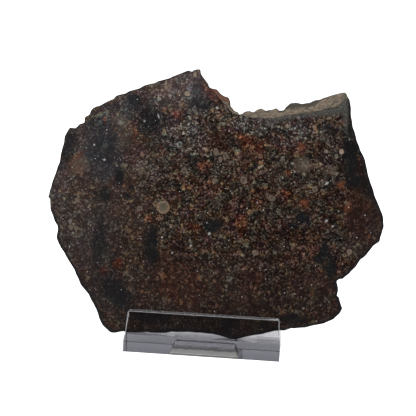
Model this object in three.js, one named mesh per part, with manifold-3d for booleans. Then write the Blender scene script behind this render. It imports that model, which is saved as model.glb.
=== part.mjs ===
// A cut and polished slice of a chondrite meteorite, leaning in a small clear plastic easel.
//
// Units are millimetres, +Z is up, +X runs to the right of the polished face, and that face
// looks towards -Y. The origin is on the ground, in the middle of the whole footprint.

import * as THREE from "three";
import { mergeVertices } from "three/addons/utils/BufferGeometryUtils.js";
import Module from "manifold-3d";

const wasm = await Module();
wasm.setup();

const rad = THREE.MathUtils.degToRad;

// ---------------------------------------------------------------- driving dimensions

const LEAN = rad(14); // slice, lip and back rest all lean back by this much
const GAP = 0.3; // clearance where the slice rests on the easel

const SLICE_THICKNESS = 4.5;
const FACE_CLEARANCE = 1.4; // level distance from the lip to the polished face
const SLICE_SHIFT = 0.05; // how far the slice stands to the right of the easel's middle
const RIM_STEP = 1.15; // spacing of the rim's points along the outline
const RIM_LUMP = 0.42; // how far the rim's lumps stand out or in
const EDGE_JITTER = 0.1; // raggedness of the outline itself

const SHEET = 2.5; // wall thickness of the easel
const EASEL_WIDTH = 47.5;
const LIP_TOP_WIDTH = 46;
const LIP_HEIGHT = 12.4; // along its slope
const LIP_CORNER = 0.7;
const SHELF_HEIGHT = 4.5;
const REST_HEIGHT = 47; // along its slope, to the middle of the top bend
const REST_TOP_WIDTH = 39;
const BEND_INSIDE = 1.4; // inner radius of the bend over the top
const PROP_ANGLE = rad(17); // the prop's lean from upright
const PROP_SHOULDER_WIDTH = 26;
const PROP_FOOT_WIDTH = 20;
const WINDOW_WIDTH = 33;
const WINDOW_HEAD = 11; // band left above the window, along the slope
const WINDOW_CORNER = 3;

const RECESS_WIDTH = 20.7; // hollow in the underside, at its mouth
const RECESS_DRAFT = 1.3; // how far its ends slope in
const RECESS_FRONT = 2.2;
const RECESS_DEPTH = 5.6;
const RECESS_HEIGHT = 2.8;
const RECESS_SHIFT = 0.9; // how far it lies to the right of the middle

// ---------------------------------------------------------------- the slice's outline

// Points of the slice's outline, anticlockwise as seen from the front, in its own plane: x from
// near the easel's middle, y up the slope from the shelf. "rear" is how far the sawn back's edge lies
// inside the outline. A point of four numbers is on a broken edge: the first two are the outer
// edge, at the back, and the last two are the edge of the polished face.
const OUTLINE = [
  {
    name: "bottom edge",
    rear: 1.6,
    points: [
      [-30.9, 1.5],
      [-29.7, 0.4],
      [-28.5, -0.4],
      [-27.1, -0.5],
      [-24.8, 0],
      [-23.2, 0],
      [-21.0, 0],
      [-17.0, 0.4],
      [-13.2, 0.3],
      [-9.6, 1.0],
      [-5.4, 1.4],
      [2.7, 1.2],
      [5.2, 0.7],
      [8.1, 0],
      [9.9, 0],
      [13.5, 1.0],
      [17.7, 2.0],
      [21.9, 3.3],
      [24.7, 3.6],
      [26.6, 4.3],
      [31.0, 4.8],
      [32.3, 5.4],
      [36.3, 6.3],
      [39.2, 7.9],
      [41.2, 10.0],
    ],
  },
  {
    name: "lower right step",
    rear: 0.5,
    points: [
      [41.8, 11.2],
      [41.0, 13.1],
      [40.6, 14.4],
      [39.9, 15.0],
      [40.2, 16.9],
      [39.7, 19.3],
      [40.6, 20.1],
      [41.4, 20.2],
    ],
  },
  {
    name: "right lobe",
    rear: 0.7,
    points: [
      [43.3, 22.0],
      [45.2, 24.2],
      [46.5, 26.3],
      [47.5, 27.1],
      [48.8, 28.8],
      [50.0, 30.8],
      [51.8, 32.4],
      [52.3, 34.4],
      [52.9, 36.8],
      [52.7, 39.5],
      [51.5, 42.4],
      [49.8, 46.0],
      [48.2, 49.8],
      [46.8, 54.2],
      [46.4, 56.3],
      [44.6, 60.1],
      [43.4, 62.8],
      [42.1, 66.6],
      [41.3, 70.2],
      [40.9, 73.8],
    ],
  },
  {
    name: "broken top",
    rear: 0.1,
    points: [
      [40.4, 75.7, 40.4, 75.0],
      [39.9, 77.2, 40.1, 75.5],
      [39.2, 78.0, 39.2, 75.1],
      [37.8, 77.7, 37.9, 73.6],
      [35.4, 77.0, 36.0, 72.6],
      [33.7, 76.5, 34.0, 72.2],
      [31.6, 75.6, 31.8, 71.2],
      [29.7, 75.0, 29.6, 70.6],
      [28.4, 74.3, 28.3, 70.3],
      [26.0, 73.9, 26.1, 70.1],
      [24.4, 74.0, 24.4, 69.8],
      [22.4, 73.7, 22.3, 69.4],
      [21.2, 72.6, 21.0, 69.2],
      [20.6, 71.7, 20.2, 68.7],
      [19.1, 71.4, 19.0, 68.4],
      [18.2, 72.0, 18.1, 68.2],
      [16.5, 71.5, 16.4, 68.1],
      [14.8, 71.2, 14.8, 67.9],
      [13.6, 71.7, 13.5, 67.9],
      [12.3, 71.3, 12.2, 68.0],
      [11.1, 70.6, 11.0, 68.1],
      [9.7, 70.8, 9.8, 68.2],
      [8.6, 70.4, 8.8, 68.4],
      [7.7, 69.8, 7.8, 68.6],
      [6.9, 69.6, 6.8, 68.8],
    ],
  },
  {
    name: "notch",
    rear: 0.2,
    points: [
      [6.2, 70.4, 5.9, 69.0],
      [5.4, 70.7, 5.0, 69.3],
      [4.1, 72.1, 3.6, 70.4],
      [3.9, 73.0, 2.9, 71.2],
      [3.6, 73.9, 2.2, 71.9],
      [3.0, 74.6, 1.4, 72.6],
      [1.9, 75.0, 0.8, 73.3],
      [0.6, 75.8, 0.0, 74.1],
      [-0.6, 77.0, -0.9, 75.2],
      [-1.9, 77.2, -1.9, 76.1],
      [-3.0, 77.6, -2.9, 76.8],
      [-3.6, 78.8, -3.9, 78.0],
      [-4.5, 79.8, -4.7, 79.2],
      [-5.5, 81.2, -5.7, 80.9],
    ],
  },
  {
    name: "upper left edge",
    rear: 0.4,
    points: [
      [-6.1, 82.3],
      [-7.7, 82.0],
      [-8.5, 81.5],
      [-9.7, 81.7],
      [-12.3, 80.6],
      [-15.3, 79.2],
      [-19.9, 77.3],
      [-23.0, 76.3],
      [-24.5, 75.3],
      [-27.6, 74.5],
      [-28.9, 73.6],
      [-31.7, 72.7],
      [-32.5, 71.9],
      [-36.7, 69.2],
      [-37.9, 68.9],
      [-39.1, 67.9],
      [-39.7, 66.3],
      [-41.0, 65.5],
      [-41.2, 63.9],
      [-42.5, 63.3],
      [-43.8, 62.0],
    ],
  },
  {
    name: "left edge",
    rear: 0.7,
    points: [
      [-45.6, 61.9],
      [-46.7, 59.6],
      [-47.3, 55.8],
      [-48.1, 50.9],
      [-50.0, 44.1],
      [-50.8, 40.0],
      [-50.2, 39.5],
      [-49.8, 36.1],
      [-48.3, 32.9],
      [-47.2, 31.2],
      [-47.0, 30.2],
      [-47.3, 27.7],
      [-45.4, 24.2],
      [-43.2, 21.0],
      [-40.9, 17.8],
      [-38.6, 13.5],
      [-36.0, 10.6],
      [-34.5, 8.0],
      [-33.1, 5.7],
      [-32.3, 3.8],
      [-31.6, 2.6],
    ],
  },
];

// Depths of the rim's rings as shares of the thickness, and how far each ring has come out
// from the polished face's edge to the outer edge.
const RIM_RINGS = [
  { depth: 0, out: 0 },
  { depth: 0.06, out: 0.08 },
  { depth: 0.22, out: 0.3 },
  { depth: 0.42, out: 0.58 },
  { depth: 0.62, out: 0.82 },
  { depth: 0.82, out: 1 },
  { depth: 0.95, out: 1 },
  { depth: 1, out: 0.98 },
];
const ARRIS = 0.12; // how far the polished face's edge is worn in

// ---------------------------------------------------------------- solids and their joins

/** A closed geometry as a solid that can be joined and cut. */
function solidOf(geometry) {
  const bare = geometry.clone();
  bare.deleteAttribute("normal");
  bare.deleteAttribute("uv");
  const merged = mergeVertices(bare, 1e-4);
  return new wasm.Manifold(
    new wasm.Mesh({
      numProp: 3,
      vertProperties: merged.attributes.position.array,
      triVerts: new Uint32Array(merged.index.array),
    }),
  );
}

/** A joined or cut solid as a geometry. */
function geometryOf(solid) {
  const mesh = solid.getMesh();
  const geometry = new THREE.BufferGeometry();
  geometry.setAttribute("position", new THREE.BufferAttribute(mesh.vertProperties, 3));
  geometry.setIndex(new THREE.BufferAttribute(mesh.triVerts, 1));
  geometry.computeVertexNormals();
  return geometry;
}

/** A section drawn in the YZ plane, extruded to a width that is centred on X. */
function acrossX(shape, width) {
  const geometry = new THREE.ExtrudeGeometry(shape, {
    depth: width,
    bevelEnabled: false,
    curveSegments: 10,
  });
  geometry.translate(0, 0, -width / 2);
  geometry.applyMatrix4(
    new THREE.Matrix4().makeBasis(
      new THREE.Vector3(0, 1, 0),
      new THREE.Vector3(0, 0, 1),
      new THREE.Vector3(1, 0, 0),
    ),
  );
  return solidOf(geometry);
}

/** An outline drawn in the XZ plane, extruded along Y from one depth to another. */
function alongY(shape, from, to) {
  const geometry = new THREE.ExtrudeGeometry(shape, {
    depth: to - from,
    bevelEnabled: false,
    curveSegments: 6,
  });
  geometry.rotateX(Math.PI / 2);
  geometry.translate(0, to, 0);
  return solidOf(geometry);
}

/** A closed shape through straight corners. */
function polygon(points) {
  return new THREE.Shape(points.map(([a, b]) => new THREE.Vector2(a, b)));
}

/** An upright trapezium, centred on X, whose two upper corners are rounded. */
function roundedTrapezium(bottom, low, top, high, radius) {
  const shape = new THREE.Shape();
  shape.moveTo(-bottom / 2, low);
  shape.lineTo(bottom / 2, low);
  shape.lineTo(top / 2, high - radius);
  shape.quadraticCurveTo(top / 2, high, top / 2 - radius, high);
  shape.lineTo(-top / 2 + radius, high);
  shape.quadraticCurveTo(-top / 2, high, -top / 2, high - radius);
  shape.closePath();
  return shape;
}

// ---------------------------------------------------------------- the easel

const sinLean = Math.sin(LEAN);
const cosLean = Math.cos(LEAN);
const tanLean = Math.tan(LEAN);
const levelSheet = SHEET / cosLean; // the sheet's thickness, measured level

/** Depth of the lip's inner face at a height; its outer face starts at Y 0 on the ground. */
const lipInside = (z) => levelSheet + z * tanLean;

/** Depth of the polished face at a height. */
const faceDepth = (z) => lipInside(z) + FACE_CLEARANCE;

/** Depth of the back rest's front face at a height. */
const restFront = (z) => faceDepth(z) + (SLICE_THICKNESS + GAP) / cosLean;

/** Depth of the back rest's rear face at a height. */
const restRear = (z) => restFront(z) + levelSheet;

/** The prop's bend: its middle, and where the prop's two faces meet the ground. */
function bend() {
  const topZ = REST_HEIGHT * cosLean;
  const outside = BEND_INSIDE + SHEET;
  const y = restFront(topZ) + outside * cosLean;
  const z = topZ - outside * sinLean;
  const toGround = (radius) => {
    const startY = y + radius * Math.cos(PROP_ANGLE);
    const startZ = z + radius * Math.sin(PROP_ANGLE);
    return startY + startZ * Math.tan(PROP_ANGLE);
  };
  return { y, z, outside, footFront: toGround(BEND_INSIDE), footRear: toGround(outside) };
}

/** The lip: a leaning plate, narrower at the top, with small round corners. */
function lipSolid() {
  const high = LIP_HEIGHT * cosLean;
  const section = polygon([
    [0, 0],
    [lipInside(0), 0],
    [lipInside(high), high],
    [high * tanLean, high],
  ]);
  const front = roundedTrapezium(EASEL_WIDTH, 0, LIP_TOP_WIDTH, high, LIP_CORNER);
  return acrossX(section, EASEL_WIDTH).intersect(alongY(front, -1, lipInside(high) + 1));
}

/** The shelf that the slice stands on, solid from the lip to the back rest. */
function shelfSolid() {
  const section = polygon([
    [0, 0],
    [restRear(0), 0],
    [restRear(SHELF_HEIGHT), SHELF_HEIGHT],
    [SHELF_HEIGHT * tanLean, SHELF_HEIGHT],
  ]);
  return acrossX(section, EASEL_WIDTH);
}

/** The back rest, up to the start of the bend, with its window. */
function restSolid() {
  const { z: bendZ, outside } = bend();
  const top = bendZ + outside * sinLean;
  const section = polygon([
    [restFront(0), 0],
    [restRear(0), 0],
    [restRear(top), top],
    [restFront(top), top],
  ]);
  const outline = polygon([
    [-EASEL_WIDTH / 2, 0],
    [EASEL_WIDTH / 2, 0],
    [EASEL_WIDTH / 2, SHELF_HEIGHT + 2],
    [REST_TOP_WIDTH / 2, top],
    [-REST_TOP_WIDTH / 2, top],
    [-EASEL_WIDTH / 2, SHELF_HEIGHT + 2],
  ]);
  const head = top - WINDOW_HEAD * cosLean;
  const opening = roundedTrapezium(WINDOW_WIDTH, SHELF_HEIGHT, WINDOW_WIDTH - 4, head, WINDOW_CORNER);
  return acrossX(section, EASEL_WIDTH)
    .intersect(alongY(outline, 0, restRear(top) + 1))
    .subtract(alongY(opening, 0, restRear(top) + 1));
}

/** The prop: it comes over the bend and runs down to its own foot behind the easel. */
function propSolid() {
  const { y, z, outside, footFront, footRear } = bend();
  const startZ = z - 4;
  const section = new THREE.Shape();
  section.moveTo(restFront(startZ), startZ);
  section.absarc(y, z, outside, Math.PI - LEAN, PROP_ANGLE, true);
  section.lineTo(footRear, 0);
  section.lineTo(footFront, 0);
  section.absarc(y, z, BEND_INSIDE, PROP_ANGLE, Math.PI - LEAN, false);
  section.lineTo(restRear(startZ), startZ);
  section.closePath();
  const shoulderZ = z - 6;
  const tongue = polygon([
    [-PROP_FOOT_WIDTH / 2, 0],
    [PROP_FOOT_WIDTH / 2, 0],
    [PROP_SHOULDER_WIDTH / 2, shoulderZ],
    [REST_TOP_WIDTH / 2, z - 1],
    [REST_TOP_WIDTH / 2, z + outside + 1],
    [-REST_TOP_WIDTH / 2, z + outside + 1],
    [-REST_TOP_WIDTH / 2, z - 1],
    [-PROP_SHOULDER_WIDTH / 2, shoulderZ],
  ]);
  return acrossX(section, EASEL_WIDTH).intersect(alongY(tongue, 0, footRear + 1));
}

/** The hollow moulded into the shelf's underside, with drafted ends. */
function recessSolid() {
  const ends = polygon([
    [-RECESS_WIDTH / 2 - RECESS_DRAFT, -RECESS_HEIGHT],
    [RECESS_WIDTH / 2 + RECESS_DRAFT, -RECESS_HEIGHT],
    [RECESS_WIDTH / 2 - RECESS_DRAFT, RECESS_HEIGHT],
    [-RECESS_WIDTH / 2 + RECESS_DRAFT, RECESS_HEIGHT],
  ]);
  return alongY(ends, RECESS_FRONT, RECESS_FRONT + RECESS_DEPTH).translate(RECESS_SHIFT, 0, 0);
}

function easelGeometry() {
  const solid = lipSolid().add(shelfSolid()).add(restSolid()).add(propSolid());
  return geometryOf(solid.subtract(recessSolid()));
}

// ---------------------------------------------------------------- the slice

/** A repeatable number from -1 to 1 for a whole-number place. */
function hash(a, b) {
  const wave = Math.sin(a * 127.1 + b * 311.7) * 43758.5453;
  return 2 * (wave - Math.floor(wave)) - 1;
}

/** Smooth noise over two coordinates, from -1 to 1. */
function noise(u, v) {
  const a = Math.floor(u);
  const b = Math.floor(v);
  const s = THREE.MathUtils.smoothstep(u - a, 0, 1);
  const t = THREE.MathUtils.smoothstep(v - b, 0, 1);
  const low = THREE.MathUtils.lerp(hash(a, b), hash(a + 1, b), s);
  const high = THREE.MathUtils.lerp(hash(a, b + 1), hash(a + 1, b + 1), s);
  return THREE.MathUtils.lerp(low, high, t);
}

/** The outline's points in one closed list, each with its outer and its polished edge. */
function outlinePoints() {
  return OUTLINE.flatMap(({ rear, points }) =>
    points.map(([x, y, faceX = x, faceY = y]) => ({
      outer: new THREE.Vector2(x, y),
      face: new THREE.Vector2(faceX, faceY),
      rear,
    })),
  );
}

/** The outline again with evenly spaced points, and each point's way along it. */
function evenly(points, step) {
  const even = [];
  let along = 0;
  points.forEach((from, i) => {
    const to = points[(i + 1) % points.length];
    const length = from.outer.distanceTo(to.outer);
    const pieces = Math.max(1, Math.round(length / step));
    for (let k = 0; k < pieces; k += 1) {
      const t = k / pieces;
      even.push({
        outer: from.outer.clone().lerp(to.outer, t),
        face: from.face.clone().lerp(to.face, t),
        rear: THREE.MathUtils.lerp(from.rear, to.rear, t),
        along: along + t * length,
      });
    }
    along += length;
  });
  return even;
}

/** The outward direction at each point, taken over a few neighbours so that it turns slowly. */
function outwards(points) {
  const reach = 3;
  const count = points.length;
  return points.map((_, i) => {
    const before = points[(i + count - reach) % count].outer;
    const after = points[(i + reach) % count].outer;
    return new THREE.Vector2(after.y - before.y, before.x - after.x).normalize();
  });
}

/** One ring of the rim: the outline at a depth, set in or out by its edges and lumps. */
function rimRing(points, normals, { depth, out }) {
  const inTheMiddle = Math.sin(Math.PI * depth) ** 0.7;
  const towardsBack = THREE.MathUtils.smoothstep(depth, 0.2, 1);
  const deep = depth * SLICE_THICKNESS;
  return points.map((point, i) => {
    const place = point.face.clone().lerp(point.outer, out);
    const broad = noise(point.along / 5.3, deep / 3.7 + 7);
    const fine = noise(point.along / 2.3, deep / 1.5 + 31);
    let shift = EDGE_JITTER * noise(point.along / 1.3, 3);
    shift += RIM_LUMP * inTheMiddle * (0.5 * broad + 0.5 * fine - 0.4);
    shift -= point.rear * towardsBack * (1 + 0.3 * broad);
    shift -= depth === 0 ? ARRIS : 0;
    return place.addScaledVector(normals[i], shift);
  });
}

function sliceGeometry() {
  const points = evenly(outlinePoints(), RIM_STEP);
  const normals = outwards(points);
  const rings = RIM_RINGS.map((ring) => rimRing(points, normals, ring));
  const count = points.length;
  const positions = rings.flatMap((ring, r) =>
    ring.flatMap(({ x, y }) => [x, y, -RIM_RINGS[r].depth * SLICE_THICKNESS]),
  );
  const faces = [];
  for (let r = 0; r + 1 < rings.length; r += 1) {
    for (let i = 0; i < count; i += 1) {
      const a = r * count + i;
      const b = r * count + ((i + 1) % count);
      faces.push(a, a + count, b);
      faces.push(b, a + count, b + count);
    }
  }
  const last = (rings.length - 1) * count;
  THREE.ShapeUtils.triangulateShape(rings[0], []).forEach(([a, b, c]) => faces.push(a, b, c));
  THREE.ShapeUtils.triangulateShape(rings.at(-1), []).forEach(([a, b, c]) =>
    faces.push(last + a, last + c, last + b),
  );
  const geometry = new THREE.BufferGeometry();
  geometry.setAttribute("position", new THREE.Float32BufferAttribute(positions, 3));
  geometry.setIndex(faces);
  geometry.computeVertexNormals();
  return geometry;
}

// ---------------------------------------------------------------- the assembly

const stone = new THREE.MeshStandardMaterial({ color: 0x3c302a, roughness: 0.45, metalness: 0.1 });
const clear = new THREE.MeshStandardMaterial({
  color: 0xc9ced8,
  roughness: 0.08,
  metalness: 0,
  transparent: true,
  opacity: 0.35,
});

const slice = new THREE.Mesh(sliceGeometry(), stone);
slice.name = "meteorite_slice";
slice.rotation.x = Math.PI / 2 - LEAN;
const contactZ = SHELF_HEIGHT + GAP;
slice.position.set(SLICE_SHIFT, faceDepth(contactZ), contactZ);

const easel = new THREE.Mesh(easelGeometry(), clear);
easel.name = "display_easel";

const display = new THREE.Group();
display.add(easel, slice);

// The origin goes to the middle of the footprint.
const box = new THREE.Box3().setFromObject(display, true);
const middle = box.getCenter(new THREE.Vector3());
display.position.set(-middle.x, -middle.y, 0);

export default display;
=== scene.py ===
"""A cut and polished slice of a chondrite meteorite, leaning in a small clear plastic easel.

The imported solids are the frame, in metres. The slice is made again from its own solid with a
finer rim and face, and the easel from its own solid with softened edges. Places on the slice are
written in its own plane, in millimetres: x from the easel's middle, y up the slope from the
shelf, z forwards out of the polished face, which lies at z 0.
"""

import logging
import math
from dataclasses import dataclass, field
from enum import Enum
from functools import partial
from typing import Any, Callable, Mapping, Sequence, Union

import bmesh
import bpy
import numpy as np
from mathutils import Matrix, Vector
from mathutils.geometry import delaunay_2d_cdt
from mathutils.noise import noise


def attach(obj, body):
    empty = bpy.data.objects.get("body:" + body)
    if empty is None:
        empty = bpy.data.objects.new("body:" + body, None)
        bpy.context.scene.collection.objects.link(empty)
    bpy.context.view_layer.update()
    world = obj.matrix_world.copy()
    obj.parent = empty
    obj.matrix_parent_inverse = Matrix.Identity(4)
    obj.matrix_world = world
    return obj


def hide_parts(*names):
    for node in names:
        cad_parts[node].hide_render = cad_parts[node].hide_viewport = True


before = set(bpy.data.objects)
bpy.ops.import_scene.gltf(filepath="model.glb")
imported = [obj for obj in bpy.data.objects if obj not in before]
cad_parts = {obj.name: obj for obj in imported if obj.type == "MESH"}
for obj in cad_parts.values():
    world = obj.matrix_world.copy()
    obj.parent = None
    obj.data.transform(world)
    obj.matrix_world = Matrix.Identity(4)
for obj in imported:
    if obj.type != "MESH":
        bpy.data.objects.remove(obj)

LOG = logging.getLogger("chondrite_slice")
MM = 0.001
BODY = "root"
THICKNESS = 4.5  # of the slice, in millimetres
BLADE_CENTRE = (-70.0, 20.0)  # of the saw that cut the back, in the slice's plane
ACRYLIC_IOR = 1.49

Colour = tuple[float, float, float]
Stops = Sequence[tuple[float, Colour]]


# ------------------------------------------------------------------ shader graphs


def _operator(operation: str, swapped: bool = False) -> Callable[..., "Signal"]:
    """Makes one of Signal's arithmetic methods.

    Args:
        operation: The Math node's operation.
        swapped: Whether the other value comes first.

    Returns:
        The method.
    """

    def method(self: "Signal", other: "Operand") -> "Signal":
        """Adds the Math node."""
        first, second = (other, self) if swapped else (self, other)
        return self.graph.maths(operation, first, second)

    return method


class Signal:
    """One socket of a shader graph. Arithmetic on it adds Math nodes.

    Of two masks, | takes the larger, which joins them, and & the smaller, where they overlap.
    """

    def __init__(self, graph: "Graph", socket: bpy.types.NodeSocket) -> None:
        """Keeps the graph and one of its sockets."""
        self.graph = graph
        self.socket = socket

    def sibling(self, name: str) -> "Signal":
        """Returns another output of the same node."""
        return Signal(self.graph, self.socket.node.outputs[name])

    __add__ = __radd__ = _operator("ADD")
    __mul__ = __rmul__ = _operator("MULTIPLY")
    __sub__, __rsub__ = _operator("SUBTRACT"), _operator("SUBTRACT", swapped=True)
    __truediv__, __rtruediv__ = _operator("DIVIDE"), _operator("DIVIDE", swapped=True)
    __or__ = _operator("MAXIMUM")
    __and__ = _operator("MINIMUM")


Operand = Union[Signal, float]
Paint = Union[Signal, Colour]


class Graph:
    """The nodes of one material."""

    def __init__(self, name: str) -> None:
        """Makes an empty node material of that name."""
        self.material = bpy.data.materials.new(name)
        self.material.use_nodes = True
        self.tree = self.material.node_tree
        self.tree.nodes.clear()

    def add(
        self,
        kind: str,
        settings: Mapping[str, Any],
        sockets: Mapping[Union[str, int], Any],
        output: Union[str, int] = 0,
    ) -> Signal:
        """Adds a node.

        Args:
            kind: The node's type without its ShaderNode prefix.
            settings: Its own settings; "stops" holds a colour ramp's places and colours.
            sockets: Values or signals for its inputs, by name or number.
            output: Which of its outputs is returned.

        Returns:
            The chosen output as a signal.
        """
        node = self.tree.nodes.new("ShaderNode" + kind)
        for name, value in settings.items():
            if name == "stops":
                self._set_stops(node.color_ramp, value)
            else:
                setattr(node, name, value)
        for name, value in sockets.items():
            target = node.inputs[name]
            if isinstance(value, Signal):
                self.tree.links.new(value.socket, target)
            elif target.type == "RGBA" and len(value) == 3:
                target.default_value = (*value, 1.0)
            else:
                target.default_value = value
        outputs = node.outputs
        return Signal(self, outputs[output]) if len(outputs) else Signal(self, node.inputs[0])

    @staticmethod
    def _set_stops(ramp: bpy.types.ColorRamp, stops: Stops) -> None:
        """Gives a new node's ramp, which has two stops, its places and colours."""
        while len(ramp.elements) < len(stops):
            ramp.elements.new(1.0)
        for element, (place, colour) in zip(ramp.elements, stops):
            element.position = place
            element.color = (*colour, 1.0)

    def maths(self, operation: str, a: Operand, b: Operand = 0.0) -> Signal:
        """Adds a Math node on two values."""
        return self.add("Math", {"operation": operation}, {0: a, 1: b})

    def vector(self, operation: str, a: Any, b: Any = (0.0, 0.0, 0.0)) -> Signal:
        """Adds a Vector Math node on two vectors."""
        output = "Value" if operation in ("LENGTH", "DOT_PRODUCT", "DISTANCE") else "Vector"
        return self.add("VectorMath", {"operation": operation}, {0: a, 1: b}, output)

    def scaled(self, vector: Any, scale: Operand) -> Signal:
        """Multiplies a vector by a value."""
        return self.add(
            "VectorMath", {"operation": "SCALE"}, {"Vector": vector, "Scale": scale}, "Vector"
        )

    def mix(self, a: Paint, b: Paint, share: Operand, blend: str = "MIX") -> Signal:
        """Mixes two colours by the share of the second, which lies on top."""
        settings = {"data_type": "RGBA", "blend_type": blend}
        return self.add("Mix", settings, {0: share, 6: a, 7: b}, 2)

    def ramp(self, value: Signal, stops: Stops) -> Signal:
        """Turns a value into a colour, by the places and colours of some stops."""
        return self.add("ValToRGB", {"stops": stops}, {"Fac": value}, "Color")

    def smooth(self, value: Operand, low: float, high: float) -> Signal:
        """Returns 0 at low and 1 at high, with a soft step between; low may be above high."""
        return self.add(
            "MapRange",
            {"interpolation_type": "SMOOTHSTEP", "clamp": False},
            {"Value": value, "From Min": low, "From Max": high},
        )

    def cloud(self, place: Signal, size: float, detail: float = 2.0, rough: float = 0.5) -> Signal:
        """Returns noise round 0.5 in lumps of a size; its Color output holds three such values."""
        sockets = {"Vector": place, "Scale": 1 / size, "Detail": detail, "Roughness": rough}
        return self.add("TexNoise", {}, sockets)

    def cells(self, place: Signal, size: float) -> Signal:
        """Returns the distance to the nearest of some scattered points, in cells.

        Its Color output is the cell's own random colour.
        """
        return self.add("TexVoronoi", {}, {"Vector": place, "Scale": 1 / size}, "Distance")

    def split(self, colour: Signal) -> tuple[Signal, Signal, Signal]:
        """Returns a colour's three channels."""
        red = self.add("SeparateColor", {}, {"Color": colour}, "Red")
        return red, red.sibling("Green"), red.sibling("Blue")

    def shifted(self, place: Signal, by: Signal, reach: float) -> Signal:
        """Returns a place pushed about by a noise colour, by up to half the reach each way."""
        push = self.scaled(self.vector("SUBTRACT", by, (0.5, 0.5, 0.5)), reach)
        return self.vector("ADD", place, push)

    def bump(self, height: Signal, distance: float, strength: float = 1.0) -> Signal:
        """Returns a normal that is raised by a height, in metres."""
        sockets = {"Strength": strength, "Distance": distance, "Height": height}
        return self.add("Bump", {}, sockets, "Normal")

    def stored(self, name: str, output: str = "Vector") -> Signal:
        """Reads what the mesh stores at its points under a name."""
        return self.add("Attribute", {"attribute_name": name}, {}, output)

    def own_place(self) -> Signal:
        """Returns the place in the object's own metres."""
        return self.add("TexCoord", {}, {}, "Object")

    def axes(self, place: Signal) -> tuple[Signal, Signal, Signal]:
        """Returns a place's x, y and z."""
        x = self.add("SeparateXYZ", {}, {"Vector": place}, "X")
        return x, x.sibling("Y"), x.sibling("Z")

    def shader(self, colour: Paint, rough: Operand, **more: Any) -> Signal:
        """Adds the main shader.

        Args:
            colour: Its base colour.
            rough: Its roughness.
            **more: Its other sockets, with _ for each space in their names.

        Returns:
            The shader.
        """
        sockets = {name.replace("_", " "): value for name, value in more.items()}
        sockets = {"Base Color": colour, "Roughness": rough, **sockets}
        return self.add("BsdfPrincipled", {}, sockets)

    def acrylic(self, rough: Operand, **more: Any) -> Signal:
        """Adds the shader of clear acrylic, with more of its sockets by name."""
        white = (1.0, 1.0, 1.0)
        return self.shader(white, rough, IOR=ACRYLIC_IOR, Transmission_Weight=1.0, **more)

    def surface(self, shader: Signal, **more: Signal) -> bpy.types.Material:
        """Makes a shader the material's surface, and returns the material."""
        self.add("OutputMaterial", {}, {"Surface": shader, **more})
        return self.material


# ------------------------------------------------------------------ places on the slice


@dataclass(frozen=True)
class Patch:
    """An oval area of the polished face.

    Attributes:
        x: Its middle, from the easel's middle.
        y: Its middle, up the slope.
        across: Half its width before it is turned.
        up: Half its height before it is turned.
        turn: How far it is turned anticlockwise, in degrees.
        strength: How fully it shows, from 0 to 1.
    """

    x: float
    y: float
    across: float
    up: float
    turn: float = 0.0
    strength: float = 1.0

    def mask(self, graph: Graph, place: Signal, ragged: Operand, soft: float) -> Signal:
        """Returns 1 inside the patch and 0 outside it.

        Args:
            graph: The material's graph.
            place: Where it is read, in the slice's plane.
            ragged: A value near 0 that moves the edge in and out.
            soft: How wide the soft edge is, as a share of the patch.

        Returns:
            The mask.
        """
        off = graph.vector("SUBTRACT", place, (self.x, self.y, 0.0))
        if self.turn:
            c, s = math.cos(math.radians(self.turn)), math.sin(math.radians(self.turn))
            along = graph.vector("DOT_PRODUCT", off, (c / self.across, s / self.across, 0.0))
            over = graph.vector("DOT_PRODUCT", off, (-s / self.up, c / self.up, 0.0))
            inside = graph.add("CombineXYZ", {}, {"X": along, "Y": over}, "Vector")
        else:
            inside = graph.vector("MULTIPLY", off, (1 / self.across, 1 / self.up, 0.0))
        far = graph.vector("LENGTH", inside) + ragged
        step = graph.smooth(far, 1 + soft, 1 - soft)
        return step * self.strength if self.strength < 1 else step


def joined(
    graph: Graph, place: Signal, ragged: Signal, patches: Sequence[Patch], soft: float
) -> Signal:
    """Returns the mask of several patches together.

    Args:
        graph: The material's graph.
        place: Where the mask is read.
        ragged: A value near 0 that moves the patches' edges in and out.
        patches: The patches, at least one.
        soft: How wide their soft edges are, as a share of each.

    Returns:
        The mask.
    """
    whole = patches[0].mask(graph, place, ragged, soft)
    for patch in patches[1:]:
        whole = whole | patch.mask(graph, place, ragged, soft)
    return whole


def ovals(*rows: Sequence[float]) -> tuple[Patch, ...]:
    """Makes a patch of each row of numbers, in the order of Patch's attributes."""
    return tuple(Patch(*row) for row in rows)


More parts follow.
